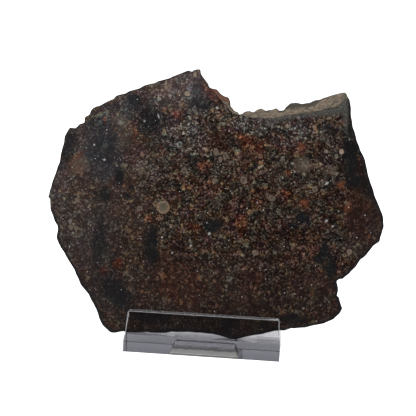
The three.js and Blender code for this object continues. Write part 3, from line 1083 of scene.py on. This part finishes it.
def inside(points: np.ndarray, loop: np.ndarray) -> np.ndarray:
    """Says which points lie inside a closed loop.

    Args:
        points: The points to test.
        loop: The loop's corners in order.

    Returns:
        A true or false value for each point.
    """
    result = np.zeros(len(points), bool)
    ends = np.roll(loop, -1, axis=0)
    for (ax, ay), (bx, by) in zip(loop, ends):
        crosses = (ay > points[:, 1]) != (by > points[:, 1])
        if not crosses.any():
            continue
        where = ax + (points[crosses, 1] - ay) * (bx - ax) / (by - ay)
        result[crosses] ^= points[crosses, 0] < where
    return result


def distance_to(points: np.ndarray, loop: np.ndarray) -> np.ndarray:
    """Returns each point's distance to the nearest corner of a closely spaced loop."""
    nearest = [
        np.min(np.hypot(*(part[:, None, :] - loop[None, :, :]).transpose(2, 0, 1)), axis=1)
        for part in np.array_split(points, 24)
    ]
    return np.concatenate(nearest)


def lumps(points: np.ndarray, size: float, offset: float) -> np.ndarray:
    """Returns noise at points, from about -1 to 1; the offset sets two layers apart."""
    shift = Vector((offset, 2.7 * offset, -1.3 * offset))
    return np.array([noise(Vector(p) / size + shift) for p in points])


# ------------------------------------------------------------------ the slice


@dataclass(frozen=True)
class SlicePlane:
    """Where the slice's own plane lies.

    Attributes:
        lean: How far it leans back, in degrees.
        foot: The plane's origin in the part's frame, in millimetres.
    """

    lean: float = 14.0
    foot: tuple[float, float, float] = (-1.0781, -15.7318, 4.8)

    def axes(self) -> np.ndarray:
        """Returns the plane's x, y and z directions as rows."""
        s, c = math.sin(math.radians(self.lean)), math.cos(math.radians(self.lean))
        return np.array([[1.0, 0.0, 0.0], [0.0, s, c], [0.0, -c, s]])

    def local(self, points: np.ndarray) -> np.ndarray:
        """Turns points of the part's frame, in metres, into the plane's millimetres."""
        return (points / MM - np.array(self.foot)) @ self.axes().T

    def world(self, points: np.ndarray) -> np.ndarray:
        """Turns the plane's millimetres into points of the part's frame, in metres."""
        return (points @ self.axes() + np.array(self.foot)) * MM


@dataclass
class Slice:
    """The slice of stone. Its lengths are in millimetres.

    Attributes:
        node: The CAD node that it stands for.
        plane: Where it lies.
        steps_round: How many points each of the rim's points becomes, round the outline.
        steps_deep: The same from front to back.
        face_step: Spacing of the points inside the polished face.
        back_step: Spacing of the points inside the sawn back.
        crumb: Height of the crust's fine lumps.
        broken_crumb: The same on the broken top.
        broken_top: Where the broken top starts and ends in x, and its lowest y.
        swell: How far the crust stands out beyond the solid's rim.
        worn: How far the polished face's edge is rounded back.
        ripple: Spacing of the low ridges that the saw left on the back.
        seed: Where the random scatter of the points inside the flat sides starts.
    """

    node: str = "meteorite_slice"
    plane: SlicePlane = field(default_factory=SlicePlane)
    steps_round: int = 4
    steps_deep: int = 3
    face_step: float = 0.55
    back_step: float = 1.1
    crumb: float = 0.11
    broken_crumb: float = 0.2
    broken_top: tuple[float, float, float] = (-5.5, 40.5, 66.0)
    swell: float = 0.1
    worn: float = 0.07
    ripple: float = 4.4
    seed: int = 7

    def build(self) -> bpy.types.Object:
        """Makes the fine slice.

        Returns:
            The object, which stands for the CAD node.
        """
        rim = self._rough(self._fine_rim(self._rings()))
        rows, count = rim.shape[:2]
        points = [rim.reshape(-1, 3)]
        edges = [np.zeros(rows * count)]
        faces = self._rim_faces(rows, count)
        sides = [Side.RIM] * len(faces)
        start = rows * count
        caps = ((0, self.face_step, Side.POLISHED), (rows - 1, self.back_step, Side.SAWN))
        for row, step, side in caps:
            extra, far, triangles = self._cap(rim[row], step, side)
            ids = np.concatenate([row * count + np.arange(count), start + np.arange(len(extra))])
            faces += [tuple(int(ids[k]) for k in t) for t in triangles]
            sides += [side] * len(triangles)
            points.append(extra)
            edges.append(far)
            start += len(extra)
        local = np.concatenate(points)
        mesh = bpy.data.meshes.new("chondrite_slice")
        mesh.from_pydata(self.plane.world(local).tolist(), [], faces)
        mesh.validate()
        self._write_attributes(mesh, local, np.concatenate(edges))
        mesh.polygons.foreach_set("material_index", [side.value for side in sides])
        smoothed(mesh, 42)
        self._write_map(mesh, local, count, rows)
        mesh.update()
        made = new_object("chondrite_slice", mesh)
        LOG.info("slice: %d points, %d faces", len(mesh.vertices), len(mesh.polygons))
        return made

    def dress(self, made: bpy.types.Object) -> None:
        """Gives the slice its three finishes, in the order of the sides."""
        for finish in (PolishedFace(), WeatheredRim(), SawnBack()):
            made.data.materials.append(finish.material())
        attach(made, BODY)
        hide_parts(self.node)

    def _rings(self) -> np.ndarray:
        """Reads the rim of the CAD node as rings of matching points, from the front to the back.

        Returns:
            The rings, each anticlockwise as seen from the front, in the slice's millimetres.
        """
        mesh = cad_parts[self.node].data
        local = self.plane.local(np.array([v.co for v in mesh.vertices], float))
        keys: dict[tuple[float, ...], int] = {}
        ids = [keys.setdefault(tuple(np.round(p, 2)), len(keys)) for p in local]
        places = np.zeros((len(keys), 3))
        places[ids] = local
        depths = sorted({round(float(z), 1) for z in places[:, 2]}, reverse=True)
        level = np.array([depths.index(round(float(z), 1)) for z in places[:, 2]])
        beside: dict[int, set[int]] = {}
        for polygon in mesh.polygons:
            corners = [ids[v] for v in polygon.vertices]
            if len({level[c] for c in corners}) == 1:
                continue
            for a, b in zip(corners, corners[1:] + corners[:1]):
                if level[a] == level[b]:
                    beside.setdefault(a, set()).add(b)
                    beside.setdefault(b, set()).add(a)
        rings = []
        for depth in range(len(depths)):
            members = np.flatnonzero(level == depth)
            near = rings[-1][0] if rings else places[members[0]]
            order = [int(members[np.argmin(np.linalg.norm(places[members] - near, axis=1))])]
            order.append(next(iter(beside[order[0]])))
            while len(order) < len(members):
                order.append(next(p for p in beside[order[-1]] if p != order[-2]))
            ring = places[order]
            x, y = ring[:, 0], ring[:, 1]
            if np.sum(x * np.roll(y, -1) - np.roll(x, -1) * y) < 0:
                ring = np.roll(ring[::-1], 1, axis=0)
            rings.append(ring)
        return np.array(rings)

    def _fine_rim(self, rings: np.ndarray) -> np.ndarray:
        """Returns the rings drawn finer, from front to back and round the outline."""
        deep = through(rings, self.steps_deep, closed=False)
        return through(deep.transpose(1, 0, 2), self.steps_round, closed=True).transpose(1, 0, 2)

    def _rough(self, rim: np.ndarray) -> np.ndarray:
        """Gives the rim its crumbly surface.

        Args:
            rim: The rings' points, smooth.

        Returns:
            The points, moved in and out.
        """
        rows, count = rim.shape[:2]
        round_it = np.roll(rim, -1, axis=1) - np.roll(rim, 1, axis=1)
        down = np.gradient(rim, axis=0)
        normal = np.cross(down, round_it)
        normal /= np.linalg.norm(normal, axis=2, keepdims=True) + 1e-9
        flat = rim.reshape(-1, 3)
        height = 0.5 * lumps(flat, 1.5, 3.0) + 0.35 * lumps(flat, 0.7, 11.0)
        height += 0.3 * lumps(flat, 0.38, 23.0)
        x, y = flat[:, 0], flat[:, 1]
        start, end, foot = self.broken_top
        broken = (x > start) & (x < end) & (y > foot)
        reach = np.where(broken, self.broken_crumb, self.crumb)
        depth = -flat[:, 2] / -flat[:, 2].min()
        reach = reach * (0.45 + 0.55 * np.sin(np.pi * np.clip(depth, 0, 1)))
        moved = flat + normal.reshape(-1, 3) * (height * reach + self.swell)[:, None]
        moved[:count, 2] = -self.worn
        moved[-count:, 2] = flat[-count:, 2]
        return moved.reshape(rows, count, 3)

    @staticmethod
    def _rim_faces(rows: int, count: int) -> list[tuple[int, ...]]:
        """Returns the rim's quads, facing out."""
        return [
            (r * count + i, (r + 1) * count + i, (r + 1) * count + j, r * count + j)
            for r in range(rows - 1)
            for i, j in ((k, (k + 1) % count) for k in range(count))
        ]

    def _cap(
        self, loop: np.ndarray, step: float, side: Side
    ) -> tuple[np.ndarray, np.ndarray, list[tuple[int, int, int]]]:
        """Fills one flat side of the slice.

        Args:
            loop: The rim's points there.
            step: The spacing of the points inside.
            side: Which side it is.

        Returns:
            The new points, their distances to the outline, and triangles that count the loop's
            points first and then the new ones.
        """
        flat = loop[:, :2]
        draw = np.random.default_rng(self.seed + side.value)
        low, high = flat.min(0), flat.max(0)
        across = np.arange(low[0], high[0], step)
        up = np.arange(low[1], high[1], step * 0.87)
        grid = np.array([(x + (k % 2) * step / 2, y) for k, y in enumerate(up) for x in across])
        grid += draw.uniform(-0.22, 0.22, grid.shape) * step
        grid = grid[inside(grid, flat)]
        far = distance_to(grid, flat)
        keep = far > step * 0.5
        grid, far = grid[keep], far[keep]
        corners = [Vector(p) for p in np.concatenate([flat, grid])]
        count = len(flat)
        border = [(i, (i + 1) % count) for i in range(count)]
        found, _, triangles, origins, _, _ = delaunay_2d_cdt(corners, border, [], 1, 1e-7)
        back = [o[0] for o in origins]
        if len(found) != len(corners):
            LOG.warning("the cap has %d points, and %d were given", len(found), len(corners))
        facing = side is Side.POLISHED
        faces = [tuple(back[k] for k in (t if facing else t[::-1])) for t in triangles]
        base = 0.0 if facing else float(loop[:, 2].mean())
        return np.column_stack([grid, base + self._relief(grid, far, side)]), far, faces

    def _relief(self, grid: np.ndarray, far: np.ndarray, side: Side) -> np.ndarray:
        """Returns how far a flat side's points stand out or lie in.

        Args:
            grid: The points in the slice's plane.
            far: Their distances to the outline.
            side: Which side it is.

        Returns:
            The height of each point.
        """
        deep = np.column_stack([grid, np.full(len(grid), 5.0 * side.value)])
        if side is Side.POLISHED:
            pits = np.clip(lumps(deep, 1.4, 41.0) - 0.42, 0, 1) * -0.16
            return pits + 0.008 * lumps(deep, 2.2, 5.0) - self.worn * np.exp(-((far / 0.4) ** 2))
        away = np.hypot(*(grid - BLADE_CENTRE).T)
        arcs = np.sin(away * 2 * math.pi / self.ripple)
        pits = np.clip(lumps(deep, 1.6, 61.0) - 0.35, 0, 1) * 0.25
        return pits + 0.02 * arcs + 0.02

    @staticmethod
    def _write_attributes(mesh: bpy.types.Mesh, local: np.ndarray, edges: np.ndarray) -> None:
        """Stores each point's place on the stone and its distance to the outline."""
        place = mesh.attributes.new("stone", "FLOAT_VECTOR", "POINT")
        place.data.foreach_set("vector", local.astype(np.float32).ravel())
        edge = mesh.attributes.new("edge", "FLOAT", "POINT")
        edge.data.foreach_set("value", edges.astype(np.float32))

    @staticmethod
    def _write_map(mesh: bpy.types.Mesh, local: np.ndarray, count: int, rows: int) -> None:
        """Lays the slice's surfaces out flat, for a painted copy of its finishes.

        Args:
            mesh: The slice's mesh.
            local: Its points in the slice's millimetres.
            count: Points round the rim.
            rows: Rows of the rim, from front to back.
        """
        layer = mesh.uv_layers.new(name="OFBake")
        faces = len(mesh.polygons)
        corners = np.zeros(len(mesh.loops), int)
        mesh.loops.foreach_get("vertex_index", corners)
        totals, index = np.zeros(faces, int), np.zeros(faces, int)
        mesh.polygons.foreach_get("loop_total", totals)
        mesh.polygons.foreach_get("material_index", index)
        side = np.repeat(index, totals)
        low = local.min(0)
        span = local.max(0) - low
        flat = (local[corners, :2] - low[:2]) / span[:2]
        uv = np.zeros((len(corners), 2))
        for panel, (corner, size) in PANELS.items():
            here = side == panel.value
            uv[here] = corner + flat[here] * size
        rim = np.flatnonzero(side == Side.RIM.value)
        strips = 3
        face_of = np.repeat(np.arange(faces), totals)[rim]
        column = face_of % count
        place = corners[rim] % count
        place = np.where((place == 0) & (column == count - 1), count, place)
        strip = column * strips // count
        first = -(-strip * count // strips)
        wide = count / strips + 1
        uv[rim, 0] = 0.005 + (place - first) / wide * 0.985
        uv[rim, 1] = 0.004 + strip * 0.04 + corners[rim] // count / (rows - 1) * 0.034
        layer.data.foreach_set("uv", uv.astype(np.float32).ravel())


# ------------------------------------------------------------------ the easel


@dataclass
class Easel:
    """The clear easel. Its lengths are in millimetres.

    Attributes:
        node: The CAD node that it stands for.
        softened: Radius of its edges.
        lip_softened: Radius of the lip's upright edges.
        rounds: Faces across each softened edge.
        sharp: The angle above which an edge is softened, in degrees.
        hollow: Both ends in x, y and z of the box round the hollow under the shelf.
        lip_back: Where the back of the lip is, in y.
        lip_foot: Where the lip rises from the shelf, in z.
    """

    node: str = "display_easel"
    softened: float = 0.1
    lip_softened: float = 0.35
    rounds: int = 3
    sharp: float = 35.0
    hollow: tuple[tuple[float, float], ...] = ((-10.73, 10.27), (-18.8, -13.0), (0.1, 3.0))
    lip_back: float = -13.0
    lip_foot: float = 4.4

    def build(self) -> bpy.types.Object:
        """Makes the easel again with softened edges.

        Returns:
            The object, which stands for the CAD node.
        """
        shape = bmesh.new()
        shape.from_mesh(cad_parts[self.node].data)
        bmesh.ops.remove_doubles(shape, verts=shape.verts, dist=0.002 * MM)
        bmesh.ops.dissolve_limit(
            shape, angle_limit=math.radians(0.5), verts=shape.verts, edges=shape.edges
        )
        self._soften(shape, self._is_lip_side, self.lip_softened)
        self._soften(shape, self._is_sharp, self.softened)
        for face in shape.faces:
            middle = face.calc_center_median() / MM
            # The hollow's inside gets painted light and shade.
            if self._in_hollow(middle) and face.normal.z > -0.5:
                face.material_index = Moulding.HOLLOW.value
            # The lip's upright sides get the painted edge highlight too.
            elif self._on_lip(middle) and abs(face.normal.x) > 0.8:
                face.material_index = Moulding.EDGE.value
        mesh = mesh_from(shape, "clear_easel")
        smoothed(mesh, 38)
        made = new_object("clear_easel", mesh)
        made.modifiers.new("flat_faces_stay_flat", "WEIGHTED_NORMAL").keep_sharp = True
        LOG.info("easel: %d points, %d faces", len(mesh.vertices), len(mesh.polygons))
        return made

    def _in_hollow(self, place: Vector) -> bool:
        """Says whether a place is on the inside of the hollow under the shelf."""
        return all(low < value < high for value, (low, high) in zip(place, self.hollow))

    def _on_lip(self, place: Vector) -> bool:
        """Says whether a place is on the lip, above the shelf."""
        return place.y < self.lip_back and place.z > self.lip_foot

    def _is_sharp(self, edge: bmesh.types.BMEdge) -> bool:
        """Says whether an edge is sharp enough to be softened."""
        return edge.is_manifold and edge.calc_face_angle() > math.radians(self.sharp)

    def _is_lip_side(self, edge: bmesh.types.BMEdge) -> bool:
        """Says whether an edge is one of the lip's two upright edges in front."""
        ends = [v.co / MM for v in edge.verts]
        upright = abs(ends[0].z - ends[1].z) > 5.0 and abs(ends[0].x - ends[1].x) < 1.5
        front = any(face.normal.y < -0.5 for face in edge.link_faces)
        return upright and front and all(self._on_lip(p) for p in ends)

    def _soften(
        self,
        shape: bmesh.types.BMesh,
        wanted: Callable[[bmesh.types.BMEdge], bool],
        radius: float,
    ) -> None:
        """Rounds edges over.

        Args:
            shape: The easel's mesh.
            wanted: Says of an edge whether it is one to round.
            radius: How far from each edge the rounding starts.
        """
        edges = [edge for edge in shape.edges if wanted(edge)]
        LOG.info("easel: %d edges softened by %.2f mm", len(edges), radius)
        bmesh.ops.bevel(
            shape,
            geom=edges,
            offset=radius * MM,
            offset_type="OFFSET",
            segments=self.rounds,
            profile=0.5,
            affect="EDGES",
            clamp_overlap=False,
            material=Moulding.EDGE.value,
        )

    def dress(self, made: bpy.types.Object) -> None:
        """Gives the easel its clear plastic."""
        for finish in (ClearPlastic(), PaintedEdgeHighlight(), PaintedHollowShading()):
            made.data.materials.append(finish.material())
        made.visible_shadow = False
        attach(made, BODY)
        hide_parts(self.node)


# ------------------------------------------------------------------ the studio


@dataclass
class Studio:
    """The floor, the light and the camera.

    Attributes:
        target: What the camera looks at, in millimetres.
        azimuth: How far the camera stands to the right, in degrees.
        elevation: How high it looks from, in degrees.
        roll: How far it is turned about its own line of sight, in degrees.
        distance: From the camera to the target, in millimetres.
        lens: Focal length for the sensor's width, in millimetres.
        sensor: The sensor's width, in millimetres.
        floor_size: The floor's width, in metres.
        sky: How strongly the sky shines.
    """

    target: tuple[float, float, float] = (-1.3, -15.65, 44.68)
    azimuth: float = 4.0
    elevation: float = 10.0
    roll: float = 2.6
    distance: float = 340.0
    lens: float = 98.4
    sensor: float = 36.0
    floor_size: float = 12.0
    sky: float = 1.15

    def build(self) -> None:
        """Makes the floor, the lights and the camera."""
        self._floor()
        self._sky()
        self._lamp("key", (-0.55, -0.55, 0.75), 0.5, 5.0)
        self._lamp("top", (0.0, 0.1, 1.1), 0.9, 11.0)
        self._flag()
        self._camera()
        bpy.context.scene.view_settings.view_transform = "Standard"

    def _floor(self) -> None:
        """Lays the floor under the easel."""
        floor = card("floor", 24, self.floor_size, PaleBoard().material())
        floor.location.z = -0.02 * MM

    def _sky(self) -> None:
        """Lights the scene evenly from all round."""
        world = bpy.data.worlds.new("soft_sky")
        world.use_nodes = True
        back = world.node_tree.nodes["Background"]
        back.inputs["Color"].default_value = (1.0, 1.0, 1.0, 1.0)
        back.inputs["Strength"].default_value = self.sky
        bpy.context.scene.world = world

    @staticmethod
    def _lamp(name: str, place: tuple[float, float, float], size: float, power: float) -> None:
        """Hangs a soft square lamp that points at the slice.

        Args:
            name: Its name.
            place: Where it hangs, in metres.
            size: The length of its side, in metres.
            power: Its power, in watts.
        """
        data = bpy.data.lights.new(name, "AREA")
        data.shape = "SQUARE"
        data.size = size
        data.energy = power
        lamp = bpy.data.objects.new(name, data)
        lamp.location = place
        aim = Vector((0.0, 0.0, 0.04)) - Vector(place)
        lamp.rotation_mode = "QUATERNION"
        lamp.rotation_quaternion = aim.to_track_quat("-Z", "Y")
        bpy.context.scene.collection.objects.link(lamp)

    def _flag(self) -> None:
        """Stands a black card where the polished face would mirror the bright sky."""
        flag = card("flag", 2, 1.0, BlackCard().material())
        flag.scale = (3.4, 1.2, 1.0)
        flag.location = (0.3, -0.95, 0.55)
        flag.rotation_euler = (math.radians(90), 0.0, 0.0)
        flag.visible_camera = flag.visible_diffuse = flag.visible_shadow = False

    def _camera(self) -> None:
        """Stands the camera where the slice is seen from."""
        a, e, r = (math.radians(d) for d in (self.azimuth, self.elevation, self.roll))
        back = Vector((math.sin(a) * math.cos(e), -math.cos(a) * math.cos(e), math.sin(e)))
        right = Vector((math.cos(a), math.sin(a), 0.0))
        up = back.cross(right)
        turned = right * math.cos(r) + up * math.sin(r)
        above = up * math.cos(r) - right * math.sin(r)
        data = bpy.data.cameras.new("camera")
        data.sensor_width = self.sensor
        data.lens = self.lens
        data.clip_start, data.clip_end = 0.01, 50.0
        camera = bpy.data.objects.new("camera", data)
        place = (Vector(self.target) + back * self.distance) * MM
        turn = Matrix((turned, above, back)).transposed()
        camera.matrix_world = Matrix.Translation(place) @ turn.to_4x4()
        bpy.context.scene.collection.objects.link(camera)
        bpy.context.scene.camera = camera


# ------------------------------------------------------------------ the whole


def main() -> None:
    """Builds every piece in order."""
    logging.basicConfig(level=logging.INFO, format="%(name)s: %(message)s")
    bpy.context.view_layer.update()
    for piece in (Slice(), Easel()):
        made = piece.build()
        piece.dress(made)
        LOG.info("%s stands for %s", made.name, piece.node)
    Studio().build()
    LOG.info("studio built")


if __name__ == "__main__":
    main()
